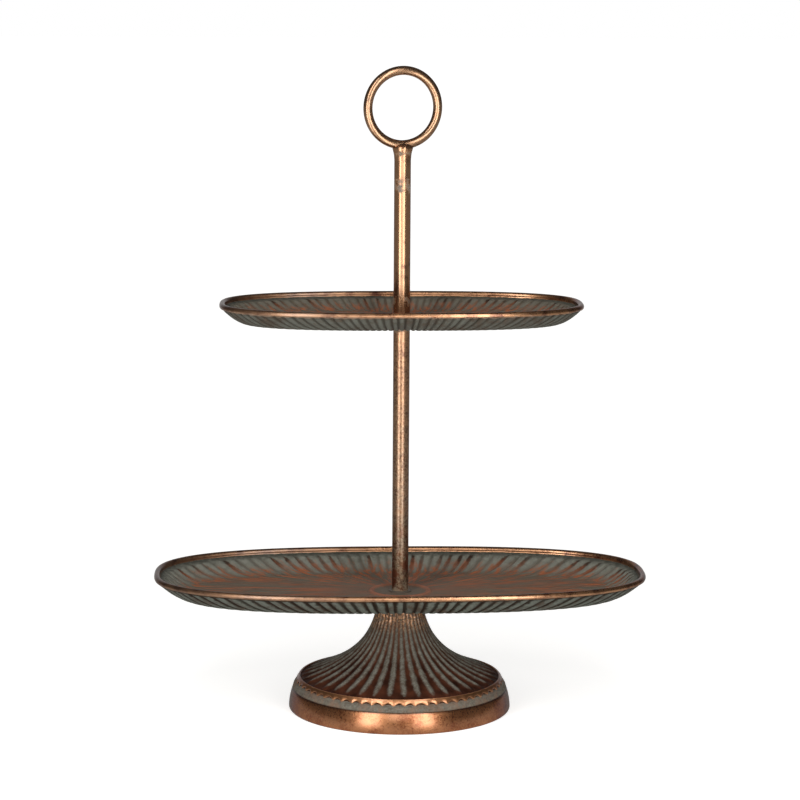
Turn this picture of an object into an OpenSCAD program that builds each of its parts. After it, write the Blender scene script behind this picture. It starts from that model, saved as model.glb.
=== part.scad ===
// Two tier serving stand: a fluted round foot, two oval fluted dishes, a
// centre rod in two lengths and a ring to lift it by.
// Millimetres. The origin is the centre of the foot's base, +Z is up and the
// long axis of the dishes is along X.

/* [Foot] */
// Height of the foot, from the table to the lower dish
foot_h = 89.2; // [75:0.1:120]
// Widest radius of the copper base band
base_r = 86.5; // [82:0.1:100]
// Height of the copper base band
band_h = 16.3; // [12:0.1:20]
// Height of the painted roll above the base band
roll_h = 5.7; // [4:0.1:9]
// Height of the scalloped ribbon above the roll
ribbon_h = 3.6; // [3:0.1:6]
// How far the ribbon lies inside the base band
ribbon_inset = 6.2; // [4:0.1:8]
// Number of arches along the lower edge of the ribbon
arch_n = 60; // [40:1:72]
// Radius that the fluted flare runs up towards
neck_r = 14; // [12:0.1:20]
// Height over which the flare narrows by a factor e
flare_run = 19.7; // [16:0.1:24]
// Number of flutes round the flare
foot_flute_n = 40; // [24:2:48]
// Depth of a flute at the foot of the flare
foot_flute_d = 2; // [0.8:0.1:2.4]
// Thickness of the foot's wall
foot_wall = 4; // [3.5:0.1:6]
// Thickness of the web that closes the neck
web_t = 6; // [4:0.5:10]

/* [Dishes] */
// Length of the lower dish along the middle of its rim bead
lower_l = 377.4; // [320:0.1:420]
// Length of the upper dish along the middle of its rim bead
upper_l = 275.2; // [220:0.1:310]
// Width of a dish as a share of its length
dish_ratio = 0.482; // [0.45:0.001:0.6]
// Squareness of the oval, 2 is an ellipse
oval_power = 2.64; // [2.2:0.01:3]
// Depth of the lower dish, from its bead to its underside
lower_depth = 17; // [14:0.1:20]
// Depth of the upper dish, from its bead to its underside
upper_depth = 13.8; // [12:0.1:18]
// Run of the lower dish's curved wall, seen from above
lower_run = 28; // [22:0.1:34]
// Run of the upper dish's curved wall, seen from above
upper_run = 20; // [16:0.1:24]
// Thickness of a dish
dish_t = 3; // [2.6:0.1:4]
// Diameter of the rim bead
bead_d = 4.8; // [4:0.1:6]
// Number of flutes round each dish
dish_flute_n = 104; // [80:2:120]
// Depth of the narrow grooves between the flutes
groove_d = 0.8; // [0.4:0.1:1]
// Outer diameter of the raised ring round the rod
boss_ring_d = 49.4; // [44:0.1:56]
// Width of the raised ring round the rod
boss_ring_w = 4.7; // [3:0.1:6]
// Height of the raised ring round the rod
boss_ring_h = 1.6; // [1:0.1:2.5]

/* [Rod] */
// Outer diameter of the rod's tubes
tube_d = 12.8; // [11:0.1:16]
// Wall of the rod's tubes
tube_wall = 1.2; // [0.8:0.1:1.6]
// Length of the lower tube, between the dishes
lower_tube_l = 210; // [150:0.5:260]
// Length of the upper tube, above the upper dish
upper_tube_l = 129; // [100:0.5:180]
// Length of the threaded plugs in the ends of the tubes
plug_l = 18; // [14:0.5:24]
// Gap between a plug and its tube
plug_gap = 0.05; // [0.02:0.01:0.1]

/* [Ring] */
// Diameter of the ring, measured to the middle of its bar
ring_d = 56.4; // [44:0.1:70]
// Diameter of the bar that the ring is bent from
ring_bar_d = 7; // [5:0.1:8]
// Turn of the ring about the rod, degrees
ring_turn = 17; // [0:1:45]
// Slit between the ends of the bent bar
ring_slit = 0.6; // [0.3:0.1:1]
// Gap between the weld and the pieces that it joins
weld_gap = 0.04; // [0.02:0.01:0.1]

/* [Fasteners] */
// Thread diameter of the bolt and the stud
thread_d = 6; // [5:0.5:6]
// Gap between a thread and its tapped hole
thread_gap = 0.06; // [0.03:0.01:0.1]
// Gap between a thread and a plain hole, on the radius
hole_gap = 0.3; // [0.2:0.05:0.5]
// Free length of a thread beyond a tapped plug's mouth
thread_in = 15; // [10:0.5:16]
// Diameter of the seat washers under the tubes
seat_d = 17; // [16:0.1:20]
// Thickness of the seat washers
seat_t = 1.2; // [0.8:0.1:1.6]
// Diameter of the flat washer under the foot's web
washer_d = 18; // [14:0.5:20]
// Thickness of the flat washer
washer_t = 1.6; // [1:0.1:2]
// Thickness of the split lock washer
lock_t = 1.6; // [1:0.1:2]
// Width of the bolt's head across its flats
head_af = 10; // [8:0.5:11]
// Height of the bolt's head
head_h = 4; // [3:0.5:5]

/* [Hidden] */
copper = "#a4602f";
patina = "#6b6f69";
steel = "#b4b4b0";
$fn = 64;

// Levels of the stack, from the table up
lower_floor_z = foot_h + dish_t;
lower_tube_z = lower_floor_z + seat_t;
upper_under_z = lower_tube_z + lower_tube_l;
upper_floor_z = upper_under_z + dish_t;
upper_tube_z = upper_floor_z + seat_t;
upper_tube_top = upper_tube_z + upper_tube_l;
web_z = foot_h - web_t;
ring_z = upper_tube_top + ring_bar_d / 2 + ring_d / 2;

// Levels and radii of the foot
ribbon_r = base_r - ribbon_inset;
roll_top = band_h + roll_h;
shoulder_z = roll_top + ribbon_h;
shoulder_inset = 0.6;
shoulder_r = ribbon_r - shoulder_inset;

// Base band: rounding at the table and at its top, lean towards its top, wall
// and its height inside
band_round = 1.5;
band_top_round = 1.3;
band_lean = 1.2;
band_wall = foot_wall + 2;
band_wall_h = 6;
roll_r = ribbon_r - 2.6;
hollow_r = ribbon_r - foot_wall - 4;

// Ribbon: radius of its bulge, and thickness of its skirt on the roll
bulge_r = ribbon_h / 1.5;
skirt_t = 0.7;

// Arches of the skirt: half width as a share of the pitch, how far their
// centres lie below the roll's top, how deep they cut, and how far the cusps
// between them reach below the roll's top
arch_share = 0.42;
arch_drop = 3.2;
arch_cut = 1.9;
cusp_drop = 2.4;

// Flutes of the flare: share of the depth that is left at the neck, and how
// far a flute's floor lies from its crest at the shoulder and at the neck
flute_left = 0.28;
floor_low = 0.14;
floor_high = 0.32;
flare_steps = 8;

tube_bore_r = tube_d / 2 - tube_wall;
clear_r = thread_d / 2 + hole_gap;
tapped_r = thread_d / 2 + thread_gap;
bead_r = bead_d / 2;

// Flat middle of a dish beyond the raised ring, and how far the ring sinks in
boss_edge = 1.5;
boss_sink = 0.5;

// How far a dish's wall swells out to meet its bead
rim_swell = 0.8 * bead_r;

// Weld: how far its skirt reaches down the tube, and its thickness there
weld_skirt = 5;
weld_t = 0.9;

// Lock washer: width of its ring and of its slit
lock_w = 2.2;
lock_slit = 1;

// Strips of triangles between two closed rings. Each ring is a list of cells,
// one cell for each flute, and a cell has one or three points.
function cell_face(a, b, n, m, i) = let(j = (i + 1) % n)
    m[0] == m[1] ?
        [for (k = [0:m[0] - 1])
            let(p = a + i * m[0] + k, q = k + 1 < m[0] ? p + 1 : a + j * m[0])
            let(r = b + i * m[1] + k, s = k + 1 < m[1] ? r + 1 : b + j * m[1])
            each [[p, s, r], [p, q, s]]]
    : m[0] == 3 ?
        let(p = a + 3 * i, q = a + 3 * j, r = b + i, s = b + j)
        [[p, p + 1, r], [p + 1, s, r], [p + 1, p + 2, s], [p + 2, q, s]]
    :
        let(p = a + i, q = a + j, r = b + 3 * i, s = b + 3 * j)
        [[p, r + 1, r], [p, q, r + 1], [r + 1, q, r + 2], [r + 2, q, s]];
function ring_start(sizes, n, k) = k == 0 ? 0 : ring_start(sizes, n, k - 1) + n * sizes[k - 1];

// A closed solid from a stack of rings. The first and last rings are flat.
module ring_solid(rings, n) {
    sizes = [for (r = rings) len(r) / n];
    starts = [for (k = [0:len(rings) - 1]) ring_start(sizes, n, k)];
    last = len(rings) - 1;
    polyhedron(
        points = [for (r = rings) each r],
        faces = [
            [for (i = [len(rings[0]) - 1:-1:0]) i],
            for (k = [0:last - 1]) for (i = [0:n - 1])
                each cell_face(starts[k], starts[k + 1], n, [sizes[k], sizes[k + 1]], i),
            [for (i = [0:len(rings[last]) - 1]) starts[last] + i]
        ],
        convexity = 10);
}

// Radius of the flare's crests, and its outward normal as [radial, upward]
function flare_r(z) = neck_r + (shoulder_r - neck_r) * exp(-(z - shoulder_z) / flare_run);
function flare_normal(z) = let(s = (flare_r(z) - neck_r) / flare_run) [1, s] / norm([1, s]);

// One ring of the flare: each flute has a crest and two points on its floor
function flare_ring(z, depth, side) = [
    for (i = [0:foot_flute_n - 1]) for (t = [0, side, 1 - side])
        let(d = t == 0 ? 0 : depth, a = 360 * (i + t) / foot_flute_n)
        let(p = [flare_r(z), z] - d * flare_normal(z))
        [p.x * cos(a), p.x * sin(a), min(p.y, foot_h)]];

// The rings lie closer together near the shoulder, where the flare turns most
function flare_z(k) = shoulder_z + (foot_h - shoulder_z) * pow(k / flare_steps, 1.7);

module flare() {
    ring_solid([
        for (k = [flare_steps:-1:0])
            let(s = k / flare_steps)
            flare_ring(flare_z(k), foot_flute_d * (1 - s + s * flute_left),
                floor_low + s * (floor_high - floor_low)),
        [for (i = [0:foot_flute_n - 1]) for (t = [0, 0.33, 0.67])
            let(a = 360 * (i + t) / foot_flute_n)
            [(shoulder_r - 3) * cos(a), (shoulder_r - 3) * sin(a), roll_top - 1]]
    ], foot_flute_n);
}

// Base band and painted roll, turned round the foot's axis
module foot_base() {
    rotate_extrude($fn = 120) {
        translate([0, band_round]) square([base_r, band_h / 2 - band_round]);
        square([base_r - band_round, band_round]);
        translate([base_r - band_round, band_round]) circle(band_round, $fn = 32);
        polygon([
            [0, band_h / 2], [base_r, band_h / 2], [base_r - band_lean, band_h - band_top_round],
            [base_r - band_lean - band_top_round, band_h], [0, band_h]]);
        translate([base_r - band_lean - band_top_round, band_h - band_top_round])
            circle(band_top_round, $fn = 32);
        translate([roll_r, band_h]) circle(roll_h);
        translate([0, band_h]) square([roll_r, roll_h + ribbon_h]);
    }
}

// Half round ribbon, and its skirt on the roll with a row of arches cut in it
module ribbon() {
    pitch = 2 * PI * ribbon_r / arch_n;
    difference() {
        rotate_extrude($fn = 120) {
            translate([ribbon_r - bulge_r, shoulder_z - bulge_r]) circle(bulge_r, $fn = 32);
            intersection() {
                translate([roll_r, band_h]) circle(roll_h + skirt_t);
                translate([roll_r + bulge_r / 2, roll_top - cusp_drop]) square(bulge_r * 2);
            }
        }
        for (i = [0:arch_n - 1])
            rotate(360 * (i + 0.5) / arch_n) translate([ribbon_r - arch_cut, 0, roll_top - arch_drop])
                rotate([0, 90, 0]) cylinder(r = arch_share * pitch, h = 3 * arch_cut, $fn = 32);
    }
}

// Space inside the foot: the flare's own curve, set in by the wall
module foot_hollow() {
    steps = 10;
    low = shoulder_z - foot_wall;
    rotate_extrude($fn = 120)
        polygon([
            [0, -1], [base_r - band_wall, -1], [base_r - band_wall, band_wall_h], [hollow_r, low],
            for (k = [0:steps])
                let(z = shoulder_z + (foot_h - shoulder_z) * pow(k / steps, 1.7))
                let(p = [flare_r(z), z] - foot_wall * flare_normal(z))
                if (p.y > low && p.y < web_z && p.x < hollow_r) p,
            [flare_r(web_z) - foot_wall, web_z], [0, web_z]]);
}

module foot() {
    color(patina) difference() {
        union() {
            foot_base();
            ribbon();
            flare();
        }
        foot_hollow();
        translate([0, 0, web_z - 1]) cylinder(r = clear_r, h = web_t + 2);
    }
}

// Distance from the middle to an oval of half length a and half width b
function oval_r(dir, a, b) =
    pow(pow(abs(cos(dir)) / a, oval_power) + pow(abs(sin(dir)) / b, oval_power), -1 / oval_power);

// Direction of a flute: between even spacing on a circle and along the oval
function flute_dir(turn) = atan2(sin(turn) * sqrt(dish_ratio), cos(turn));

// Outer wall of a dish at w, from 0 at the rim to 1 where it turns flat, as
// [inset, height], and its normal towards the inside of the dish
function wall_at(w, run, depth) = [-run * w, -depth * (1 - pow(1 - w, 2))];
function wall_normal(w, run, depth) = let(v = [-2 * depth * (1 - w), run]) v / norm(v);

// A ring of a dish at one offset from the rim's centre line. Each cell has
// its groove point, and with a groove also two points on the flute's face.
function dish_ring(a, z, face, groove) = [
    for (i = [0:dish_flute_n - 1]) for (t = is_undef(groove) ? [0] : [0, 0.2, 0.8])
        let(p = is_undef(groove) || t > 0 ? face : groove)
        let(dir = flute_dir(360 * (i + t) / dish_flute_n))
        let(r = oval_r(dir, a + p.x, a * dish_ratio + p.x))
        [r * cos(dir), r * sin(dir), z + p.y]];
function flat_ring(r, z) = [
    for (i = [0:dish_flute_n - 1])
        let(dir = flute_dir(360 * i / dish_flute_n)) [r * cos(dir), r * sin(dir), z]];

// Oval dish with fluted faces, a rolled rim and a raised ring at its middle
module dish(l, depth, run, under_z) {
    a = l / 2;
    z = under_z + depth;
    cap_r = boss_ring_d / 2 + boss_edge;
    inside = [for (w = [1, 0.5, 0.2]) [w, dish_t]];
    function face(w, off) = wall_at(w, run, depth) + off * wall_normal(w, run, depth);
    function outside(w, off) = face(w, off - rim_swell * pow(1 - w, 2.5));
    function bead(turn) = bead_r * [cos(turn), sin(turn)];
    difference() {
        union() {
            ring_solid([
                flat_ring(cap_r, under_z + dish_t),
                for (s = inside) dish_ring(a, z, face(s[0], s[1]), face(s[0], s[1] - groove_d)),
                for (turn = [200, 150, 100, 50, 0, -35]) dish_ring(a, z, bead(turn)),
                dish_ring(a, z, outside(0.1, 0)),
                for (w = [0.2, 0.5, 1]) dish_ring(a, z, outside(w, 0), outside(w, groove_d)),
                flat_ring(cap_r, under_z)
            ], dish_flute_n);
            translate([0, 0, under_z + dish_t])
                rotate_extrude($fn = 120)
                    translate([boss_ring_d / 2 - boss_ring_w, 0])
                        polygon([
                            [0, -boss_sink], [boss_ring_w, -boss_sink], [boss_ring_w, 0],
                            [boss_ring_w * 0.75, boss_ring_h * 0.8], [boss_ring_w * 0.5, boss_ring_h],
                            [boss_ring_w * 0.25, boss_ring_h * 0.8], [0, 0]]);
        }
        translate([0, 0, under_z - 1]) cylinder(r = clear_r, h = dish_t + 2);
    }
}

module lower_dish() {
    color(patina) dish(lower_l, lower_depth, lower_run, foot_h);
}

module upper_dish() {
    color(patina) dish(upper_l, upper_depth, upper_run, upper_under_z);
}

module tube(z, l) {
    color(copper) translate([0, 0, z]) difference() {
        cylinder(d = tube_d, h = l);
        translate([0, 0, -1]) cylinder(r = tube_bore_r, h = l + 2);
    }
}

module lower_tube() {
    tube(lower_tube_z, lower_tube_l);
}

module upper_tube() {
    tube(upper_tube_z, upper_tube_l);
}

// Tapped plug, flush with the end of its tube
module plug(z) {
    color(steel) translate([0, 0, z]) difference() {
        cylinder(r = tube_bore_r - plug_gap, h = plug_l);
        translate([0, 0, -1]) cylinder(r = tapped_r, h = plug_l + 2);
    }
}

module lower_tube_foot_plug() {
    plug(lower_tube_z);
}

module lower_tube_top_plug() {
    plug(upper_under_z - plug_l);
}

module upper_tube_plug() {
    plug(upper_tube_z);
}

module washer(z, d, t) {
    translate([0, 0, z]) difference() {
        cylinder(d = d, h = t);
        translate([0, 0, -1]) cylinder(r = clear_r, h = t + 2);
    }
}

module seat_washers() {
    color(patina) {
        washer(lower_floor_z, seat_d, seat_t);
        washer(upper_floor_z, seat_d, seat_t);
    }
}

// Stud through the upper dish that draws the two tubes together
module joining_stud() {
    color(steel) translate([0, 0, upper_under_z - thread_in])
        cylinder(d = thread_d, h = 2 * thread_in + dish_t + seat_t);
}

// Hexagon head bolt from under the foot into the lower tube
module foot_bolt() {
    head_z = web_z - washer_t - lock_t - head_h;
    color(steel) {
        translate([0, 0, head_z]) cylinder(d = head_af / cos(30), h = head_h, $fn = 6);
        translate([0, 0, head_z + head_h / 2])
            cylinder(d = thread_d, h = lower_tube_z + thread_in - head_z - head_h / 2);
    }
}

module flat_washer() {
    color(steel) washer(web_z - washer_t, washer_d, washer_t);
}

// Split washer, with its slit square to the rim
module lock_washer() {
    lock_d = 2 * (clear_r + lock_w);
    low = web_z - washer_t - lock_t;
    color(steel) difference() {
        washer(low, lock_d, lock_t);
        translate([0, -lock_slit / 2, low - 1]) cube([lock_d, lock_slit, lock_t + 2]);
    }
}

module ring_bar(grow) {
    slit_turn = ring_slit / (PI * ring_d) * 360;
    translate([0, 0, ring_z]) rotate([90, 0, ring_turn]) rotate(-90 + slit_turn / 2)
        rotate_extrude(angle = 360 - slit_turn, $fn = 120)
            translate([ring_d / 2, 0]) circle(ring_bar_d / 2 + grow, $fn = 48);
}

module ring_handle() {
    color(copper) ring_bar(0);
}

// Bead of weld that caps the upper tube and saddles the ring
module ring_weld() {
    rise = ring_bar_d * 0.62;
    color(copper) difference() {
        translate([0, 0, upper_tube_top])
            rotate_extrude()
                polygon([
                    [0, -weld_skirt], [tube_d / 2 + 0.1 * weld_t, -weld_skirt],
                    [tube_d / 2 + 0.7 * weld_t, -1], [tube_d / 2 + weld_t, 1],
                    [tube_d / 2 + 0.3 * weld_t, rise * 0.7], [tube_d / 2 - 1.5 * weld_t, rise], [0, rise]]);
        translate([0, 0, upper_tube_top - weld_skirt - 1])
            cylinder(d = tube_d + 2 * weld_gap, h = weld_skirt + 1);
        ring_bar(weld_gap);
    }
}

foot();
lower_dish();
upper_dish();
lower_tube();
upper_tube();
lower_tube_foot_plug();
lower_tube_top_plug();
upper_tube_plug();
seat_washers();
joining_stud();
foot_bolt();
lock_washer();
flat_washer();
ring_handle();
ring_weld();
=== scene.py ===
import math
from functools import partial

import bpy
from bpy.props import FloatProperty, IntProperty, PointerProperty, StringProperty
from mathutils import Matrix, Vector, noise


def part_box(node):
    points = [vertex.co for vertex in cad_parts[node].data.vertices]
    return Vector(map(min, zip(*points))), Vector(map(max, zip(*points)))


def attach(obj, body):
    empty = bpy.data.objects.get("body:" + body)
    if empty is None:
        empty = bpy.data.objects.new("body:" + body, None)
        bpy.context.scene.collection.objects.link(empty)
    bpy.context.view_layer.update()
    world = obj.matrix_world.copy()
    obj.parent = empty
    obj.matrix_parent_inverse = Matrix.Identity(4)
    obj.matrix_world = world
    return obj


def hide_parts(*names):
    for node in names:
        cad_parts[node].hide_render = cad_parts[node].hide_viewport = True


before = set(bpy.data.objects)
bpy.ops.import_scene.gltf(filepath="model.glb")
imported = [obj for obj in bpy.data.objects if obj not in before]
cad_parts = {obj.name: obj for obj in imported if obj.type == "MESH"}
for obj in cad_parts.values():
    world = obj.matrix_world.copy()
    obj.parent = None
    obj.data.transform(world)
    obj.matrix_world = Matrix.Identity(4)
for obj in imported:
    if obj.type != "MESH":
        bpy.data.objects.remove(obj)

bl_info = {
    "name": "Two tier serving stand",
    "version": (1, 0, 0),
    "blender": (4, 5, 0),
    "location": "3D View > Sidebar > Stand",
    "description": "Fluted dishes, foot, rod, ring and studio of a serving stand in antique copper",
    "category": "Object",
}

MM = 0.001

# Kinds of node by the names used here, each with the setting that goes with its name.
# A math node goes by its operation.
KINDS = {name: ("ShaderNodeMath", {"operation": name.upper().replace(" ", "_")}) for name in (
    "absolute", "add", "arctan2", "cosine", "divide", "floor", "greater than", "less than", "maximum",
    "modulo", "multiply", "multiply add", "power", "round", "sine", "sqrt", "subtract")}
KINDS.update({
    "attribute": ("ShaderNodeAttribute", {}), "join": ("ShaderNodeCombineXYZ", {}),
    "map": ("ShaderNodeMapRange", {}), "mix": ("ShaderNodeMix", {"data_type": "FLOAT"}),
    "mix colours": ("ShaderNodeMix", {"data_type": "RGBA"}), "noise": ("ShaderNodeTexNoise", {}),
    "position": ("ShaderNodeTexCoord", {}), "split": ("ShaderNodeSeparateXYZ", {}),
    "vector": ("ShaderNodeVectorMath", {}),
})

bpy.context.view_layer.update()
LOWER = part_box("lower_dish")
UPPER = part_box("upper_dish")
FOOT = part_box("foot")
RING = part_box("ring_handle")
UPPER_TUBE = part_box("upper_tube")

# Sizes that several pieces share
BOLT_HOLE = 3.3 * MM
RIBBON_INSET = 6.2 * MM
ROLL_INSET = 2.6 * MM

# Sections of the foot, which the sweep writes for the material
TOP, FLARE, ROLL, HOLLOW, BAND, RIBBON = range(6)


def hexes(colour):
    """Turns an sRGB hex colour into the linear values that a shader takes."""
    parts = [int(colour[i:i + 2], 16) / 255 for i in (1, 3, 5)]
    return tuple(c / 12.92 if c <= 0.04045 else ((c + 0.055) / 1.055) ** 2.4 for c in parts) + (1.0,)


class StandDishes(bpy.types.PropertyGroup):
    bead: FloatProperty(
        name="Rim bead", description="Diameter of the rolled rim", default=4.8 * MM, unit="LENGTH",
        precision=4)
    lower_length: FloatProperty(
        name="Lower length", description="Length of the lower dish over its bead",
        default=LOWER[1].x - LOWER[0].x, unit="LENGTH")
    upper_length: FloatProperty(
        name="Upper length", description="Length of the upper dish over its bead",
        default=UPPER[1].x - UPPER[0].x, unit="LENGTH")
    width_share: FloatProperty(
        name="Width share", description="Width of a dish as a share of its length", default=0.482)
    squareness: FloatProperty(
        name="Squareness", description="2 is an ellipse, more is squarer", default=2.64)
    lower_depth: FloatProperty(
        name="Lower depth", description="From the bead's middle to the underside", default=17 * MM,
        unit="LENGTH")
    upper_depth: FloatProperty(
        name="Upper depth", description="From the bead's middle to the underside", default=13.8 * MM,
        unit="LENGTH")
    lower_run: FloatProperty(
        name="Lower wall run", description="Width of the curved wall seen from above", default=28 * MM,
        unit="LENGTH")
    upper_run: FloatProperty(
        name="Upper wall run", description="Width of the curved wall seen from above", default=20 * MM,
        unit="LENGTH")
    thickness: FloatProperty(
        name="Thickness", description="Thickness of the casting", default=3 * MM, unit="LENGTH")
    flutes: IntProperty(name="Flutes", description="Flutes round each dish", default=104)
    groove: FloatProperty(
        name="Groove depth", description="Depth of the grooves between the flutes", default=1.0 * MM,
        unit="LENGTH", precision=4)
    swell: FloatProperty(
        name="Rim swell", description="How far the wall swells out to meet the bead", default=1.92 * MM,
        unit="LENGTH", precision=4)


class StandFoot(bpy.types.PropertyGroup):
    base_radius: FloatProperty(
        name="Base radius", description="Radius of the copper band", default=FOOT[1].x, unit="LENGTH")
    height: FloatProperty(
        name="Height", description="From the table to the lower dish", default=FOOT[1].z, unit="LENGTH")
    band: FloatProperty(
        name="Band height", description="Height of the copper band", default=16.3 * MM, unit="LENGTH")
    roll: FloatProperty(
        name="Roll height", description="Height of the painted roll", default=5.7 * MM, unit="LENGTH")
    ribbon: FloatProperty(
        name="Ribbon height", description="Height of the scalloped ribbon above the roll", default=3.6 * MM,
        unit="LENGTH")
    neck_radius: FloatProperty(
        name="Neck radius", description="Radius that the flare runs up towards", default=14 * MM,
        unit="LENGTH")
    flare_run: FloatProperty(
        name="Flare run", description="Height over which the flare narrows by a factor e",
        default=19.7 * MM, unit="LENGTH")
    flutes: IntProperty(name="Flutes", description="Flutes round the flare", default=40)
    flute_depth: FloatProperty(
        name="Flute depth", description="Depth of a flute at the shoulder", default=2 * MM, unit="LENGTH",
        precision=4)
    arches: IntProperty(name="Arches", description="Arches along the ribbon", default=60)
    wall: FloatProperty(name="Wall", description="Thickness of the casting", default=4 * MM, unit="LENGTH")


class StandColours(bpy.types.PropertyGroup):
    copper: StringProperty(
        name="Rubbed copper", description="sRGB hex of the copper where it is rubbed bright",
        default="#c89369")
    brown: StringProperty(
        name="Darkened copper", description="sRGB hex of the copper that stayed dark", default="#6a3a22")
    paint: StringProperty(
        name="Paint", description="sRGB hex of the grey green paint", default="#78766c")
    rust: StringProperty(
        name="Red undercoat", description="sRGB hex of the red brown in the grooves", default="#74442e")
    zinc: StringProperty(
        name="Zinc", description="sRGB hex of the plated steel fasteners", default="#b9bab6")


class StandStage(bpy.types.PropertyGroup):
    lamp_power: FloatProperty(
        name="Lamp power", description="Power of the left softbox, of which the others get a share",
        default=3.2, unit="POWER")
    fill: FloatProperty(
        name="Fill", description="Strength of the room's soft light on matt surfaces", default=0.28)
    lens: FloatProperty(
        name="Lens", description="Focal length on a 36 mm sensor", default=138.25, subtype="DISTANCE_CAMERA")


class StandSettings(bpy.types.PropertyGroup):
    dishes: PointerProperty(type=StandDishes)
    foot: PointerProperty(type=StandFoot)
    colours: PointerProperty(type=StandColours)
    stage: PointerProperty(type=StandStage)


def add_node(tree, kind, *values, sockets=None, **settings):
    """Adds a node of one of the KINDS or of a Blender type. "put" is this function for one tree.

    values fill its enabled inputs in order and sockets fill inputs by name. A node given as a
    value is linked by its first enabled output, and a hex colour is turned to linear. A map goes
    from 0 to 1 unless two more numbers follow its range."""
    kind, usual = KINDS.get(kind, (kind, {}))
    node = tree.nodes.new(kind)
    for name, value in {**usual, **settings}.items():
        setattr(node, name, value)
    enabled = [s for s in node.inputs if s.enabled]
    pairs = [(enabled[i], v) for i, v in enumerate(values) if v is not None]
    for name, value in (sockets or {}).items():
        pairs.append((next(s for s in enabled if s.name == name), value))
    for socket, value in pairs:
        if isinstance(value, bpy.types.Node):
            value = next(s for s in value.outputs if s.enabled)
        if isinstance(value, bpy.types.NodeSocket):
            tree.links.new(value, socket)
        else:
            socket.default_value = hexes(value) if str(value).startswith("#") else value
    return node


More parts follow.
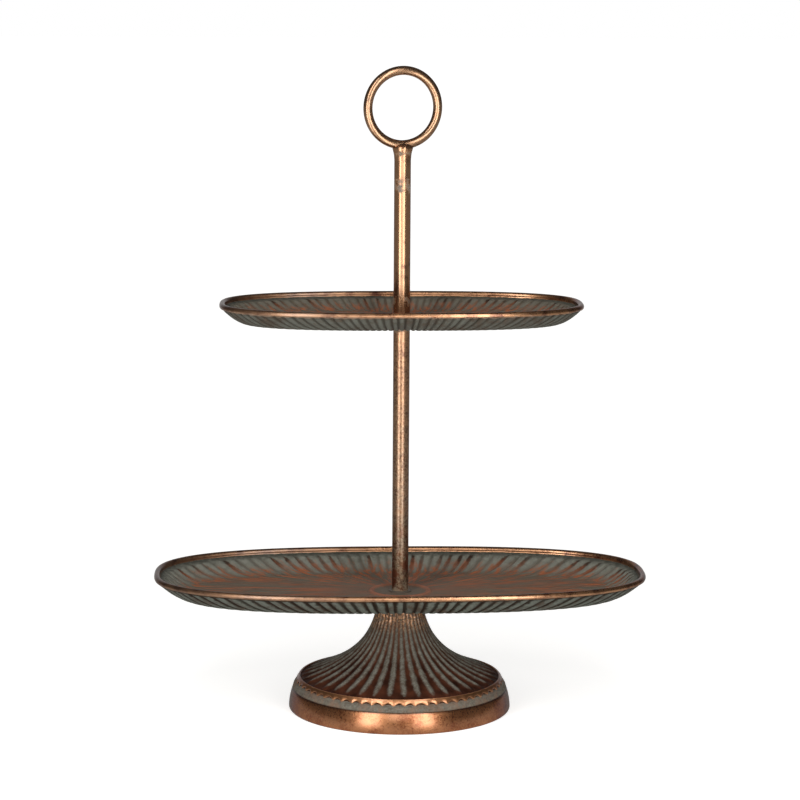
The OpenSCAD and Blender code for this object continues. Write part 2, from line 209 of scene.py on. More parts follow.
def sweep_tree():
    """Geometry Nodes tree that carries a profile round an oval and cuts flutes into it.

    The profile is a row of points. Each holds "track" (inset from the oval, radius on the
    plain circle, height), "blend" (0 oval to 1 circle, sharpness, end fade), "cut" (inset and
    height of the full cut) and "place", which only the material reads."""
    tree = bpy.data.node_groups.new("Fluted sweep", "GeometryNodeTree")
    put = partial(add_node, tree)
    ports = tree.interface
    ports.new_socket("Profile", in_out="INPUT", socket_type="NodeSocketGeometry")
    for name, kind, default in (
        ("Half length", "NodeSocketFloat", 0.1), ("Width share", "NodeSocketFloat", 1.0),
        ("Squareness", "NodeSocketFloat", 2.0), ("Flutes", "NodeSocketInt", 40),
        ("Columns per flute", "NodeSocketInt", 8), ("Crowding", "NodeSocketFloat", 0.6),
        ("Softness", "NodeSocketFloat", 0.1), ("Ridges on the lines", "NodeSocketFloat", 0.0),
        ("Unevenness", "NodeSocketFloat", 0.0),
        ("Seed", "NodeSocketInt", 1), ("Finish", "NodeSocketMaterial", None),
    ):
        socket = ports.new_socket(name, in_out="INPUT", socket_type=kind)
        if default is not None:
            socket.default_value = default
    ports.new_socket("Piece", in_out="OUTPUT", socket_type="NodeSocketGeometry")
    given = put("NodeGroupInput").outputs

    count = put("GeometryNodeAttributeDomainSize", given["Profile"], component="MESH")
    rows = count.outputs["Point Count"]
    across = put("multiply", given["Flutes"], given["Columns per flute"])
    grid = put("GeometryNodeMeshGrid", 1.0, 1.0, put("add", across, 1.0), rows)
    index = put("GeometryNodeInputIndex")
    row = put("modulo", index, rows)
    column = put("floor", put("divide", index, rows))

    track, blend, cut, place = (
        put("GeometryNodeSampleIndex", given["Profile"],
            put("GeometryNodeInputNamedAttribute", name, data_type="FLOAT_VECTOR"),
            row, data_type="FLOAT_VECTOR", domain="POINT")
        for name in ("track", "blend", "cut", "place"))
    track_at = put("split", track)
    blend_at = put("split", blend)

    # Where a column lies among the flutes: whole numbers are the lines between them
    even = put("divide", column, given["Columns per flute"])
    wave = put("sine", put("multiply", even, math.tau))
    crowd = put("multiply", given["Crowding"], 1 / math.tau)
    turn = put("subtract", even, put("multiply", wave, crowd))
    line = put("round", turn)
    off_line = put("absolute", put("subtract", turn, line))
    off_line = put("multiply", off_line, 2.0)

    # Hand made lines: each has its own sideways shift and its own depth
    which = put("modulo", line, given["Flutes"])
    chance, shift = (
        put("FunctionNodeRandomValue", sockets={
            "ID": which, "Seed": put("add", given["Seed"], float(step))}, data_type="FLOAT")
        for step in (0, 50))
    near = put("power", put("subtract", 1.0, off_line), 2.0)
    shift = put("multiply", put("subtract", shift, 0.5), given["Unevenness"])
    turn = put("multiply add", shift, near, turn)
    missing = put("multiply", put("subtract", 1.0, chance), given["Unevenness"])
    strength = put("subtract", 1.0, missing)

    # Soft distance from the line: the square root rounds the corner that a line would leave
    soft = given["Softness"]
    soft_squared = put("multiply", soft, soft)
    root = put("sqrt", put("multiply add", off_line, off_line, soft_squared))
    full = put("sqrt", put("add", 1.0, soft_squared))
    away = put("divide", put("subtract", root, soft), put("subtract", full, soft))
    slope = put("power", put("subtract", 1.0, away), blend_at.outputs["Y"])
    lobe = put("subtract", 1.0, slope)
    raised = put("mix", given["Ridges on the lines"], lobe, slope)
    fade = put("power", put("subtract", 1.0, blend_at.outputs["Z"]), 2.0)
    raised = put("maximum", put("subtract", raised, fade), 0.0)
    sunk = put("subtract", 1.0, raised)
    sunk = put("multiply", sunk, strength)
    cut_by = put("split", put("vector", cut, sockets={"Scale": sunk}, operation="SCALE"))
    inset = put("add", track_at.outputs["X"], cut_by.outputs["X"])
    circle = put("add", track_at.outputs["Y"], cut_by.outputs["X"])
    height = put("add", track_at.outputs["Z"], cut_by.outputs["Z"])

    # Direction of the column, between even spacing on a circle and along the oval
    angle = put("multiply", turn, put("divide", math.tau, given["Flutes"]))
    side = put("multiply", put("sine", angle), put("sqrt", given["Width share"]))
    heading = put("arctan2", side, put("cosine", angle))
    cos = put("cosine", heading)
    sin = put("sine", heading)
    half_w = put("multiply add", given["Half length"], given["Width share"], inset)
    terms = []
    for part, reach in ((cos, put("add", given["Half length"], inset)), (sin, half_w)):
        share = put("divide", put("absolute", part), reach)
        terms.append(put("power", share, given["Squareness"]))
    oval = put("power", put("add", *terms), put("divide", -1.0, given["Squareness"]))
    radius = put("mix", blend_at.outputs["X"], oval, circle)
    point = put("join", put("multiply", radius, cos), put("multiply", radius, sin), height)

    # What the material reads. "around" has one unit for each flute, so noise on it runs along them.
    reach = put("multiply", given["Flutes"], 1 / math.tau)
    along = put("split", place)
    around = put("join", put("multiply", put("cosine", angle), reach),
                 put("multiply", put("sine", angle), reach), along.outputs["Y"])
    shape = grid
    for name, value in (("relief", put("join", raised, off_line, chance)),
                        ("place", place), ("around", around)):
        shape = put("GeometryNodeStoreNamedAttribute", shape, True, name, value,
                    data_type="FLOAT_VECTOR", domain="POINT")
    shape = put("GeometryNodeSetPosition", shape, True, point)
    shape = put("GeometryNodeMergeByDistance", shape, sockets={"Distance": 1e-6})
    shape = put("GeometryNodeSetShadeSmooth", shape)
    shape = put("GeometryNodeRealizeInstances", shape)
    shape = put("GeometryNodeSetMaterial", shape, sockets={"Material": given["Finish"]})
    put("NodeGroupOutput", shape)
    return tree


def swept(name, tree, profile, **inputs):
    """Runs the sweep on a closed profile and returns the piece as a plain mesh object.

    profile is a list of (track, blend, cut, place), each a triple of numbers."""
    mesh = bpy.data.meshes.new(name)
    rows = profile + profile[:1]
    mesh.from_pydata([row[0] for row in rows], [], [])
    for i, key in enumerate(("track", "blend", "cut", "place")):
        values = mesh.attributes.new(key, "FLOAT_VECTOR", "POINT")
        values.data.foreach_set("vector", [c for row in rows for c in row[i]])
    piece = bpy.data.objects.new(name, mesh)
    bpy.context.collection.objects.link(piece)
    sweep = piece.modifiers.new("Fluted sweep", "NODES")
    sweep.node_group = tree
    sockets = {s.name: s.identifier for s in tree.interface.items_tree if s.in_out == "INPUT"}
    for key, value in inputs.items():
        sweep[sockets[key.replace("_", " ")]] = value
    seen = piece.evaluated_get(bpy.context.evaluated_depsgraph_get())
    made = bpy.data.meshes.new_from_object(seen)
    piece.modifiers.remove(sweep)
    piece.data = made
    made.name = name
    if not made.polygons:
        raise RuntimeError(f"{name} came out empty")
    return piece


def spread(low, high, steps):
    """Evenly spaced numbers from low to high, both included."""
    return [low + (high - low) * i / steps for i in range(steps + 1)]


def arc(centre_x, centre_z, radius, turns):
    """Points of a circle at turns in degrees, counted from +X towards +Z."""
    angles = [math.radians(turn) for turn in turns]
    return [Vector((centre_x + radius * math.cos(a), centre_z + radius * math.sin(a))) for a in angles]


def dish_profile(depth, run, under, sizes):
    """Closed profile of a dish: boss, floor, wall and bead, then the same again below.

    place is (side, along, copper). side is 1 inside, 0 outside and 0.5 on the bead. along is 0 at
    the bead, 1 at the foot of the wall, 2.4 on the boss's ring and 3 on its flat. copper is 1 on
    the bead and runs out below it."""
    thick, bead, groove = sizes.thickness, sizes.bead / 2, sizes.groove
    top, rim = under + thick, under + depth
    boss_in, boss_out, boss_rise, boss_cap = 20 * MM, 24.7 * MM, 1.6 * MM, 26.2 * MM
    inside_cut, outside_cut = -1, 1.35      # shares of the groove depth, both into the metal

    def wall(w, off):
        slope = Vector((-2 * depth * (1 - w), run)).normalized()
        return Vector((-run * w, -depth * (1 - (1 - w) ** 2))) + off * slope, slope

    def on_circle(radius, z, side, along):
        return ((-run, radius, z), (1, 3, 0), (0, 0, 0), (side, along, 0))

    def surface(side, w):
        return wall(w, thick if side else -sizes.swell * (1 - w) ** 2.5)

    rows = []
    for side in (1, 0):
        level = top if side else under
        part = [on_circle(r, level, side, along) for r, along in (
            (BOLT_HOLE, 3), (8 * MM, 3), (14 * MM, 3), (boss_in, 2.6))]
        if side:
            for u in spread(0, 1, 8)[1:-1]:
                part.append(on_circle(boss_in + (boss_out - boss_in) * u,
                                      level + boss_rise * math.sin(math.pi * u) ** 0.8, side, 2.6 - 0.4 * u))
        part.append(on_circle(boss_out, level, side, 2.2))
        inward = inside_cut if side else outside_cut
        for q in (1, 0.9, 0.75, 0.6, 0.45, 0.3, 0.15):
            fade = min(1, (1 - q) * 8)
            cut = (0, 0, inward * groove * (1 - q) * fade)
            part.append(((-run, boss_cap, level), (q, 2.4, 1), cut, (side, 1 + q, 0)))

        # The flutes end round, inside below a plain band and outside right under the bead
        first, meets_at = (0.2, 200) if side else (0.1, -35)
        for w in spread(1, first, 14):
            at, slope = surface(side, w)
            cut = inward * groove * slope
            part.append(((at.x, boss_cap, rim + at.y), (0, 3, 1), (cut.x, 0, cut.y), (side, w, 0)))
        low, slope = surface(side, first)
        high = arc(0, 0, bead, [meets_at])[0]
        plain, ramp, copper_edge = ((2.6 * MM, 3.2 * MM, 1.4 * MM) if side else
                                    (1.0 * MM, 2.6 * MM, 2.2 * MM))
        for s in spread(0, 1, 9)[1:]:
            at = low.lerp(high, s)
            reach = (high - low).length * (1 - s)
            end = min(1, max(0, (reach - plain) / ramp))
            sink = inward * groove * min(1, reach / (1.2 * MM)) * slope
            part.append(((at.x, boss_cap, rim + at.y), (0, 3, end), (sink.x, 0, sink.y),
                         (side, first * (1 - s), max(0, 1 - reach / copper_edge))))
        rows.append(part)
    inner, outer = rows

    # The bead's underside holds less copper than its top
    turns = spread(200, -35, 20)[1:-1]
    around = [((at.x, boss_cap, rim + at.y), (0, 3, 0), (0, 0, 0),
               (0.5, 0, 1 - 0.62 * max(0, (20 - turn) / 55)))
              for at, turn in zip(arc(0, 0, bead, turns), turns)]
    return inner + around + outer[::-1]


class STAND_OT_dishes(bpy.types.Operator):
    """Both fluted dishes with their rolled rims"""
    bl_idname = "stand.dishes"
    bl_label = "Dishes"

    def execute(self, context):
        settings = context.scene.serving_stand
        sizes = settings.dishes
        finish = patinated_casting(settings.colours)
        tree = sweep_tree()
        for name, length, depth, run, under, seed in (
            ("lower_dish_fluted", sizes.lower_length, sizes.lower_depth, sizes.lower_run, LOWER[0].z, 3),
            ("upper_dish_fluted", sizes.upper_length, sizes.upper_depth, sizes.upper_run, UPPER[0].z, 8),
        ):
            piece = swept(
                name, tree, dish_profile(depth, run, under, sizes), Half_length=(length - sizes.bead) / 2,
                Width_share=sizes.width_share, Squareness=sizes.squareness, Flutes=sizes.flutes,
                Columns_per_flute=8, Crowding=0.6, Softness=0.06, Ridges_on_the_lines=0.0, Unevenness=0.45,
                Seed=seed, Finish=finish)
            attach(piece, "root")
            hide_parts(name.replace("_fluted", ""))
        return {"FINISHED"}


def ring_row(radius, z, place, cut=(0, 0), sharp=3, end=1):
    """One row of a round profile. place is (section of the foot, share of its height, 0)."""
    return ((0, radius, z), (1, sharp, end), (cut[0], 0, cut[1]), place)


def foot_lines(sizes):
    """The shoulder's height, and the radii of the ribbon and of the roll's middle."""
    ribbon_r = sizes.base_radius - RIBBON_INSET
    return sizes.band + sizes.roll + sizes.ribbon, ribbon_r, ribbon_r - ROLL_INSET


def flare_profile(sizes):
    """Closed profile of the flare and the roll under it, with the hollow inside."""
    shoulder, ribbon_r, roll_r = foot_lines(sizes)
    wide, hollow_r, seat_r = ribbon_r - 0.6 * MM, ribbon_r - sizes.wall - 4 * MM, 78 * MM
    web = sizes.height - 6 * MM
    plain, ramp = 0.8 * MM, 3.2 * MM        # where the flutes end above the shoulder

    def level(share):
        return shoulder + (sizes.height - shoulder) * share ** 1.7

    def flare(z):
        radius = sizes.neck_radius + (wide - sizes.neck_radius) * math.exp(-(z - shoulder) / sizes.flare_run)
        slope = (radius - sizes.neck_radius) / sizes.flare_run
        return radius, Vector((1, slope)).normalized()

    rows = [ring_row(r, sizes.height, (TOP, 0, 0)) for r in (BOLT_HOLE, 14 * MM)]
    for share in spread(1, 0, 36):
        z = level(share)
        radius, out = flare(z)
        cut = -sizes.flute_depth * (1 - 0.72 * share) * out
        end = min(1, max(0, (z - shoulder - plain) / ramp) + 0.08)
        rows.append(ring_row(radius, z, (FLARE, share, 0), (cut.x, min(cut.y, sizes.height - z)),
                             2.0 - 0.5 * share, end))
    rows.append(ring_row(wide - 2 * MM, shoulder - 2.2 * MM, (ROLL, 1, 0)))
    turns = spread(80, -16, 16)
    for turn, at in zip(turns, arc(roll_r, sizes.band, sizes.roll, turns)):
        rows.append(ring_row(at.x, at.y, (ROLL, turn / 90, 0)))
    rows.append(ring_row(seat_r, sizes.band - 2 * MM, (HOLLOW, 0, 0)))
    rows.append(ring_row(hollow_r, shoulder - sizes.wall, (HOLLOW, 0, 0)))
    for share in spread(0, 1, 24)[1:]:
        z = level(share)
        radius, out = flare(z)
        at = Vector((radius, z)) - sizes.wall * out
        if shoulder - sizes.wall < at.y < web and at.x < hollow_r:
            rows.append(ring_row(at.x, at.y, (HOLLOW, share, 0)))
    rows += [ring_row(r, web, (HOLLOW, 1, 0)) for r in (flare(web)[0] - sizes.wall, BOLT_HOLE)]
    return rows


def band_profile(sizes):
    """Closed profile of the copper band that the stand rests on, with the crease under the roll."""
    r, top, corner, lean, round_ = sizes.base_radius, sizes.band, 1.5 * MM, 2.6 * MM, 0.9 * MM
    crease, inner, seat_r = r - lean - round_, r - sizes.wall - 2 * MM, 76.5 * MM
    points = [(seat_r, top - 1.2 * MM), (crease - 1.5 * MM, top - 1.2 * MM),
              (crease - 0.5 * MM, top - 0.3 * MM)]
    points += arc(crease, top - round_, round_, spread(90, 24, 6))
    for s in spread(1, 0, 8)[1:]:
        points.append((r - lean * (0.25 * s + 0.75 * s * s), 2.5 * MM + (top - 3.3 * MM) * s))
    points += arc(r - corner, corner, corner, spread(0, -90, 6))
    points += [(r - 2.2 * MM, 0), (inner + 0.3 * MM, 0), (inner, 0.3 * MM), (inner, 6 * MM),
               (seat_r, top - 2 * MM)]
    return [ring_row(x, max(z, 0), (BAND, z / top, 0)) for x, z in points]


def ribbon_profile(sizes):
    """Closed profile of the scalloped ribbon: a crest, a gently rounded face that is taller at the
    cusps than at the arches, a small lower edge, and a back that is sunk into the roll."""
    shoulder, ribbon_r, roll_r = foot_lines(sizes)
    back_r, crest_round, sharp = ribbon_r - 5 * MM, 0.9 * MM, 1.6
    arch_face, cusp_face, edge_round = 3.5 * MM, 6.9 * MM, 0.5 * MM
    crest = Vector((ribbon_r - 2 * MM, shoulder - crest_round))

    def round_from(start, radius, turns):
        """An arc that begins at a point."""
        first = arc(0, 0, radius, turns[:1])[0]
        return [start - first + at for at in arc(0, 0, radius, turns)]

    rows = [ring_row(back_r, shoulder - 3.2 * MM, (RIBBON, 0, 0))]
    for at in arc(crest.x, crest.y, crest_round, spread(190, 60, 5)):
        rows.append(ring_row(at.x, at.y, (RIBBON, 0.1, 0)))
    start = crest + Vector((0.4 * MM, 0.75 * MM))
    faces = [round_from(start, radius, spread(50, 5, 7)) for radius in (arch_face, cusp_face)]
    edges = [round_from(face[-1], edge_round, spread(5, -75, 5))[1:] for face in faces]
    backs = [arc(roll_r, sizes.band, sizes.roll - 0.8 * MM, [turn]) for turn in (72, 50)]
    for (arches, cusps), first, step in ((faces, 0.3, 0.05), (edges, 0.9, 0), (backs, 1, 0)):
        for i, (arch, cusp) in enumerate(zip(arches, cusps)):
            rows.append(ring_row(arch.x, arch.y, (RIBBON, first + step * i, 0), cusp - arch, sharp))
    rows.append(ring_row(back_r, sizes.band + sizes.roll - 2 * MM, (RIBBON, 1, 0)))
    return rows


class STAND_OT_foot(bpy.types.Operator):
    """The foot: fluted flare with its roll, scalloped ribbon and copper band"""
    bl_idname = "stand.foot"
    bl_label = "Foot"

    def execute(self, context):
        settings = context.scene.serving_stand
        sizes = settings.foot
        tree = bpy.data.node_groups["Fluted sweep"]
        for name, profile, flutes, columns, ridges, soft, uneven, finish in (
            ("foot_flare", flare_profile(sizes), sizes.flutes, 18, 1.0, 0.25, 0.0,
             foot_casting(settings.colours)),
            ("foot_ribbon", ribbon_profile(sizes), sizes.arches, 12, 0.0, 0.08, 0.25,
             antique_copper(settings.colours, "ribbon")),
            ("foot_band", band_profile(sizes), 180, 2, 0.0, 0.1, 0.0,
             antique_copper(settings.colours, "band")),
        ):
            piece = swept(
                name, tree, profile, Half_length=sizes.base_radius, Width_share=1.0, Squareness=2.0,
                Flutes=flutes, Columns_per_flute=columns, Crowding=0.0, Softness=soft,
                Ridges_on_the_lines=ridges, Unevenness=uneven, Seed=5, Finish=finish)
            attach(piece, "root")
            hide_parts("foot")
        return {"FINISHED"}


class STAND_OT_rod(bpy.types.Operator):
    """Finish of the rod's two tubes, which keep their own solids"""
    bl_idname = "stand.rod"
    bl_label = "Rod"

    def execute(self, context):
        colours = context.scene.serving_stand.colours
        dress("lower_tube", antique_copper(colours, "lower rod"))
        dress("upper_tube", antique_copper(colours, "upper rod"))
        return {"FINISHED"}


def dress(node, finish):
    """Gives a node of the frame its finish and leaves its mesh alone."""
    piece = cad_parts[node]
    if not piece.material_slots:
        piece.data.materials.append(finish)
    for held in piece.material_slots:
        held.link = "OBJECT"
        held.material = finish


class STAND_OT_ring(bpy.types.Operator):
    """Finish of the ring, and the lumpy weld that joins it to the rod"""
    bl_idname = "stand.ring"
    bl_label = "Ring and weld"

    def execute(self, context):
        colours = context.scene.serving_stand.colours
        dress("ring_handle", antique_copper(colours, "ring"))
        top = UPPER_TUBE[1].z
        radius = (UPPER_TUBE[1].x - UPPER_TUBE[0].x) / 2
        outline = [(radius + out * MM, up * MM) for out, up in (
            (-0.6, -11), (-0.12, -9.8), (0, -8.4), (0.1, -6.8), (0.25, -5), (0.5, -3), (1.0, -1.2),
            (1.5, 0.8), (1.2, 2.2), (0.1, 3.2), (-1.2, 4.1), (-3.2, 4.4))]
        around, lump_depth, lump_scale = 64, 0.35 * MM, 420
        verts, faces = [], []
        for r, z in outline:
            for i in range(around):
                turn = math.tau * i / around
                at = Vector((r * math.cos(turn), r * math.sin(turn), top + z))
                share = min(1, max(0, (z / MM + 6) / 5))
                lump = noise.fractal(at * lump_scale, 1.0, 2.0, 3) * lump_depth * share
                verts.append(at + Vector((math.cos(turn), math.sin(turn), 0.5)) * lump)
        verts += [Vector((0, 0, top + outline[0][1])), Vector((0, 0, top + outline[-1][1]))]
        low, high = len(verts) - 2, len(verts) - 1
        for k in range(len(outline) - 1):
            for i in range(around):
                a, b = k * around + i, k * around + (i + 1) % around
                faces.append((a, b, b + around, a + around))
        last = (len(outline) - 1) * around
        for i in range(around):
            faces.append((low, (i + 1) % around, i))
            faces.append((high, last + i, last + (i + 1) % around))
        mesh = bpy.data.meshes.new("ring_weld_bead")
        mesh.from_pydata(verts, [], faces)
        mesh.shade_smooth()
        mesh.materials.append(antique_copper(colours, "weld"))
        piece = bpy.data.objects.new("ring_weld_bead", mesh)
        context.collection.objects.link(piece)
        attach(piece, "root")
        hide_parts("ring_weld")
        return {"FINISHED"}


class STAND_OT_fasteners(bpy.types.Operator):
    """Finish of the bolt, stud, plugs and washers"""
    bl_idname = "stand.fasteners"
    bl_label = "Fasteners"

    def execute(self, context):
        colours = context.scene.serving_stand.colours
        zinc = zinc_plate(colours)
        for name in ("lower_tube_foot_plug", "lower_tube_top_plug", "upper_tube_plug", "joining_stud",
                     "foot_bolt", "lock_washer", "flat_washer"):
            dress(name, zinc)
        dress("seat_washers", antique_copper(colours, "washer"))
        return {"FINISHED"}


def new_material(name):
    """A material without nodes, and put for its tree."""
    material = bpy.data.materials.new(name)
    material.use_nodes = True
    material.node_tree.nodes.clear()
    return material, partial(add_node, material.node_tree)


def per_metre(size_mm):
    """Scale of a noise whose blobs are about size_mm wide, to the nearest 5 to a metre."""
    return 5.0 * round(1 / (5 * size_mm * MM))


def from_sweep(put, name):
    """The three numbers of an attribute that the sweep wrote."""
    return put("split", put("attribute", attribute_name=name).outputs["Vector"]).outputs


def torn(put, value, rag, amount, *span):
    """A map of a value whose edge is torn by an amount of noise around 0."""
    return put("map", put("multiply add", rag, amount, value), *span)


def copper_layer(put, colours, dents, rough_low=0.26, worn_from=0.33, flecks=0.22):
    """Copper plate, darkened and rubbed back: the dark film is worn through in patches of about
    10 mm and in flecks of 1.4 mm, so the metal looks warm, clouded and a little grainy.

    Returns the colour, the roughness, the bump and the position that they are worked out from.
    dents is the depth in metres of the cast skin's dimples, which are about 2 mm across."""
    spot = put("position").outputs["Object"]
    patch = put("noise", spot, per_metre(10), 4.0, 0.55)
    fleck = put("noise", spot, per_metre(1.43), 2.0, 0.6)
    rubbed = put("map", put("mix", flecks, patch, fleck), worn_from, worn_from + 0.2)
    colour = put("mix colours", rubbed, colours.brown, colours.copper)
    rough = put("map", fleck, 0.3, 0.7, rough_low, rough_low + 0.06)
    dimple = put("noise", spot, per_metre(2.08), 3.0, 0.55)
    bump = put("ShaderNodeBump", sockets={"Strength": 1.0, "Distance": dents, "Height": dimple})
    return colour, rough, bump, spot


def casting_shader(put, colour, paint, rough, bump):
    """One shader for metal and the matt paint on it. paint is 1 where the paint covers the metal.

    Bare copper has a coat of clear wax, which pales its highlights, and is darker edge-on."""
    bare = put("subtract", 1.0, paint)
    shader = put("ShaderNodeBsdfPrincipled", sockets={
        "Base Color": colour, "Metallic": bare, "Roughness": put("mix", paint, rough, 0.62),
        "Normal": bump, "Specular IOR Level": 0.3, "Specular Tint": "#5f4436",
        "Coat Weight": put("multiply", bare, 0.9), "Coat Roughness": 0.2, "Coat Normal": bump})
    put("ShaderNodeOutputMaterial", shader)


# The copper of each piece: depth of the dimples in mm, lowest roughness, how strong the wear has
# to be before the metal shows, and the share of flecks in the wear
COPPER = {
    "lower rod": (0.045, 0.32, 0.36, 0.5), "upper rod": (0.002, 0.22, 0.24, 0.05),
    "ring": (0.001, 0.25, 0.2, 0.03), "weld": (0.03, 0.26, 0.26, 0.15),
    "band": (0.035, 0.26, 0.34, 0.4), "ribbon": (0.01, 0.33, 0.2, 0.1),
    "washer": (0.05, 0.4, 0.5, 0.22),
}
# Smudges of paint on them: height, reach up and down in mm, and strength
SMUDGES = {
    "lower rod": ((LOWER[0].z + 2 * MM, 18, 0.56), (UPPER[0].z - 6 * MM, 7, 0.56)),
    "upper rod": ((UPPER[0].z + 18 * MM, 12, 0.5), (UPPER_TUBE[1].z - 28 * MM, 14, 0.6),
                  (UPPER_TUBE[1].z, 7, 0.52)),
    "weld": ((UPPER_TUBE[1].z - 3 * MM, 6, 0.5),),
    "washer": ((LOWER[0].z + 3 * MM, 30, 0.9), (UPPER[0].z + 3 * MM, 30, 0.9)),
    "ring": ((RING[0].z, 7, 0.5),),
}
SMUDGE_PAINT = {"lower rod": "#857461", "upper rod": "#6f6a62"}


def antique_copper(colours, part):
    """Antique copper plate: plated, darkened, rubbed back and waxed, which leaves warm highlights
    that fall off to a dark brown. The brush that painted the dishes also smudged the rod next to
    them, the weld and the washers."""
    material, put = new_material(f"Antique copper, {part}")
    dents, rough_low, worn_from, flecks = COPPER[part]
    colour, rough, bump, spot = copper_layer(put, colours, dents * MM, rough_low, worn_from, flecks)
    ragged = put("noise", spot, per_metre(5.9), 4.0, 0.6)
    height = put("split", spot).outputs["Z"]
    paint = 0.0
    for level, reach_mm, most in SMUDGES.get(part, ()):
        near = put("absolute", put("subtract", height, level))
        near = put("map", near, 0.0, reach_mm * MM, most, 0.1)
        edge = put("subtract", put("add", ragged, near), 1.0)
        paint = put("maximum", paint, put("map", edge, -0.06, 0.06, 0.0, 0.85))

    if part in ("lower rod", "upper rod", "ring", "weld"):
        # Duller and greyer towards the lower dish, where hands rub it least
        film = put("map", height, LOWER[0].z, UPPER[0].z, 1.0, 0.45 if part == "ring" else 0.22)
        film = put("multiply", film, put("map", ragged, 0.35, 0.6, 0.6, 1.0))
        grain = put("map", put("noise", spot, per_metre(1.43), 2.0, 0.6), 0.42, 0.58)
        colour = put("mix colours", film, colour, put("mix colours", grain, "#6a5646", "#9a8d76"))
    if part == "lower rod":
        # Red brown blotches and a matt skin on its lowest part
        end = LOWER[0].z
        blotch = put("map", put("noise", spot, per_metre(13.3), 4.0, 0.6), 0.45, 0.58, 0.0, 0.9)
        low = put("map", height, end + 15 * MM, end + 80 * MM, 1.0, 0.0)
        colour = put("mix colours", put("multiply", blotch, low), colour, "#7d442b")
        rough = put("add", rough, put("map", height, end + 20 * MM, end + 110 * MM, 0.14, 0.0))
    if part == "band":
        # More orange, with painted shade in the crease under the roll
        colour = put("mix colours", 0.45, colour, "#b05e26")
        crease = put("map", from_sweep(put, "place")["Y"], 0.9, 0.98, 0.0, 0.7)
        colour = put("mix colours", crease, colour, "#4a2c1c")
    if part == "ribbon":
        # More orange, with painted shade along the crest and in the arches
        colour = put("mix colours", 0.3, colour, "#b9652c")
        down = from_sweep(put, "place")["Y"]
        arch = put("multiply", put("map", down, 0.6, 0.9, 0.0, 0.8),
                   put("map", from_sweep(put, "relief")["X"], 0.35, 0.8))
        dark = put("maximum", put("map", down, 0.0, 0.12, 0.6, 0.0), arch)
        colour = put("mix colours", dark, colour, "#4a2a18")
    both = put("mix colours", paint, colour, SMUDGE_PAINT.get(part, "#5f5d54"))
    casting_shader(put, both, paint, rough, bump)
    return material


def foot_casting(colours):
    """Cast foot with dry brushed paint: grey green on the ridges and the roll, dark red brown
    undercoat left in the flutes, and copper rubbed through at the neck."""
    material, put = new_material("Patinated casting, foot")
    colour, _, bump, spot = copper_layer(put, colours, 0.025 * MM)
    section, share, _ = from_sweep(put, "place")
    ragged = put("noise", spot, per_metre(4.35), 6.0, 0.65)
    patch = put("noise", spot, per_metre(14.3), 3.0, 0.6)
    grit = put("noise", spot, per_metre(1.43), 2.0, 0.6)

    ridge = put("multiply add", share, 0.25, from_sweep(put, "relief")["X"])
    ridge = put("subtract", ridge, put("map", share, 0.0, 0.35, 0.4, 0.0))
    ridge = torn(put, ridge, put("subtract", ragged, 0.5), 0.8, 0.24, 0.78)
    roll = put("greater than", section, ROLL - 0.5)     # and the hollow, which is painted too
    glint = put("multiply", put("map", share, 0.73, 0.86), put("map", grit, 0.45, 0.6, 0.12, 1.0))

    flute = put("mix colours", put("map", patch, 0.35, 0.65), "#2d1912", "#4e2c1e")
    flute = put("mix colours", put("map", share, 0.45, 1.0), flute, "#6e5140")
    grey = put("mix colours", put("map", put("mix", 0.5, ragged, grit), 0.4, 0.6), "#5c544a", colours.paint)
    # Brown patches on the roll, and painted shade on its lower side, in the crease above the band
    for marks, tint in (
        (put("map", put("add", ragged, patch), 0.92, 1.2, 0.0, 0.75), "#7b5f4d"),
        (put("map", share, -0.04, 0.1, 0.8, 0.0), "#4a382c"),
    ):
        grey = put("mix colours", put("multiply", marks, roll), grey, tint)
    both = put("mix colours", put("maximum", ridge, roll), flute, grey)
    both = put("mix colours", glint, both, colour)
    bare = put("multiply", put("subtract", 1.0, roll), put("multiply", glint, 0.9))
    casting_shader(put, both, put("subtract", 1.0, bare), 0.33, bump)
    return material


